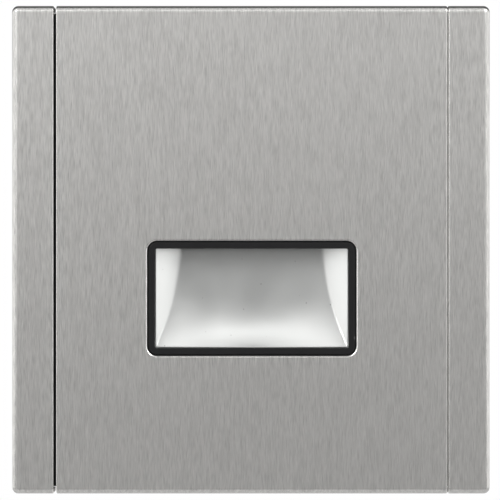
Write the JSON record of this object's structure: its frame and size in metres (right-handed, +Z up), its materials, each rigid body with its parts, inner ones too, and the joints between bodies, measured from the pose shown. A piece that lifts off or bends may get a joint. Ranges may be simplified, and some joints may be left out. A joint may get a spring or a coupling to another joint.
{
  "type": "recessed step light",
  "caption": "Recessed step light with a brushed steel face and a scooped window that throws light down, in a wall box with a lift-out module.",
  "frame": {"origin": "middle of the face outline, on the wall surface that the face covers", "axes": "+Z up, the face looks along -Y, +X to the right as seen from the front"},
  "size_m": [0.1064, 0.054, 0.1086],
  "materials": {
    "brushed_steel": "vertically brushed stainless steel, satin",
    "black_plastic": "moulded black, fine texture",
    "bezel_black": "moulded black, satin",
    "reflector_silver": "vapour-coated silver, satin",
    "foam_black": "closed-cell foam, matt",
    "clear_lens": "clear moulded lens, polished",
    "white_plastic": "moulded white, satin",
    "board_white": "white solder mask, gloss",
    "board_green": "green solder mask, gloss",
    "led_yellow": "phosphor under clear silicone",
    "aluminium_plain": "mill finish",
    "zinc_steel": "zinc plated",
    "stud_steel": "plain stainless steel",
    "ferrite_grey": "sintered ferrite, matt",
    "copper_winding": "enamelled copper wire",
    "capacitor_sleeve": "shrunk sleeve, satin",
    "capacitor_film": "cast resin case, satin",
    "chip_black": "moulded epoxy, matt",
    "lead_insulation": "extruded insulation, satin",
    "terminal_grey": "moulded grey, satin",
    "lever_orange": "moulded orange, satin",
    "spring_steel": "rolled spring steel",
    "frame_paint": "black powder coat, fine texture",
    "box_grey": "moulded dark grey, fine texture",
    "rubber_black": "moulded rubber, matt"
  },
  "bodies": {
    "housing": {"wall_box": "box_grey", "cable_grommets": "rubber_black", "mounting_frame": "frame_paint", "frame_screws": "zinc_steel", "wall_seal": "foam_black"},
    "light_module": {"front_plate": "brushed_steel", "window_bezel": "bezel_black", "reflector_scoop": "reflector_silver", "scoop_seal": "foam_black", "led_lens": "clear_lens", "led_holder": "white_plastic", "led_board": "board_white", "led_chips": "led_yellow", "heat_bracket": "aluminium_plain", "engine_screws": "zinc_steel", "driver_board": "board_green", "driver_screws": "zinc_steel", "choke": "ferrite_grey", "choke_winding": "copper_winding", "capacitor": "capacitor_sleeve", "film_capacitor": "capacitor_film", "driver_chips": "chip_black", "lead_plugs": "white_plastic", "led_lead": "lead_insulation", "module_chassis": "black_plastic", "plate_studs": "stud_steel", "stud_nuts": "zinc_steel", "module_seal": "foam_black", "rear_cover": "black_plastic", "rear_cover_seal": "foam_black", "rear_cover_screws": "zinc_steel", "terminal_block": "terminal_grey", "retaining_springs": "spring_steel"},
    "left_trim": {"left_trim": "brushed_steel", "left_trim_carrier": "black_plastic"},
    "right_trim": {"right_trim": "brushed_steel", "right_trim_carrier": "black_plastic"},
    "terminal_lever_1": {"terminal_lever_1": "lever_orange"},
    "terminal_lever_2": {"terminal_lever_2": "lever_orange"},
    "terminal_lever_3": {"terminal_lever_3": "lever_orange"},
    "terminal_lever_4": {"terminal_lever_4": "lever_orange"}
  },
  "joints": [
    {"name": "module_pull", "type": "slide", "parent": "housing", "child": "light_module", "axis": [0, -1, 0], "range_m": [0, 0.06], "deforming": ["retaining_springs"]},
    {"name": "left_trim_pull", "type": "slide", "parent": "housing", "child": "left_trim", "axis": [0, -1, 0], "range_m": [0, 0.012]},
    {"name": "right_trim_pull", "type": "slide", "parent": "housing", "child": "right_trim", "axis": [0, -1, 0], "range_m": [0, 0.012]},
    {"name": "lever_1_swing", "type": "hinge", "parent": "light_module", "child": "terminal_lever_1", "pos_m": [-0.00805, 0.0291, 0.0376], "axis": [1, 0, 0], "range_deg": [0, 90]},
    {"name": "lever_2_swing", "type": "hinge", "parent": "light_module", "child": "terminal_lever_2", "pos_m": [-0.00255, 0.0291, 0.0376], "axis": [1, 0, 0], "range_deg": [0, 90]},
    {"name": "lever_3_swing", "type": "hinge", "parent": "light_module", "child": "terminal_lever_3", "pos_m": [0.00295, 0.0291, 0.0376], "axis": [1, 0, 0], "range_deg": [0, 90]},
    {"name": "lever_4_swing", "type": "hinge", "parent": "light_module", "child": "terminal_lever_4", "pos_m": [0.00845, 0.0291, 0.0376], "axis": [1, 0, 0], "range_deg": [0, 90]}
  ]
}
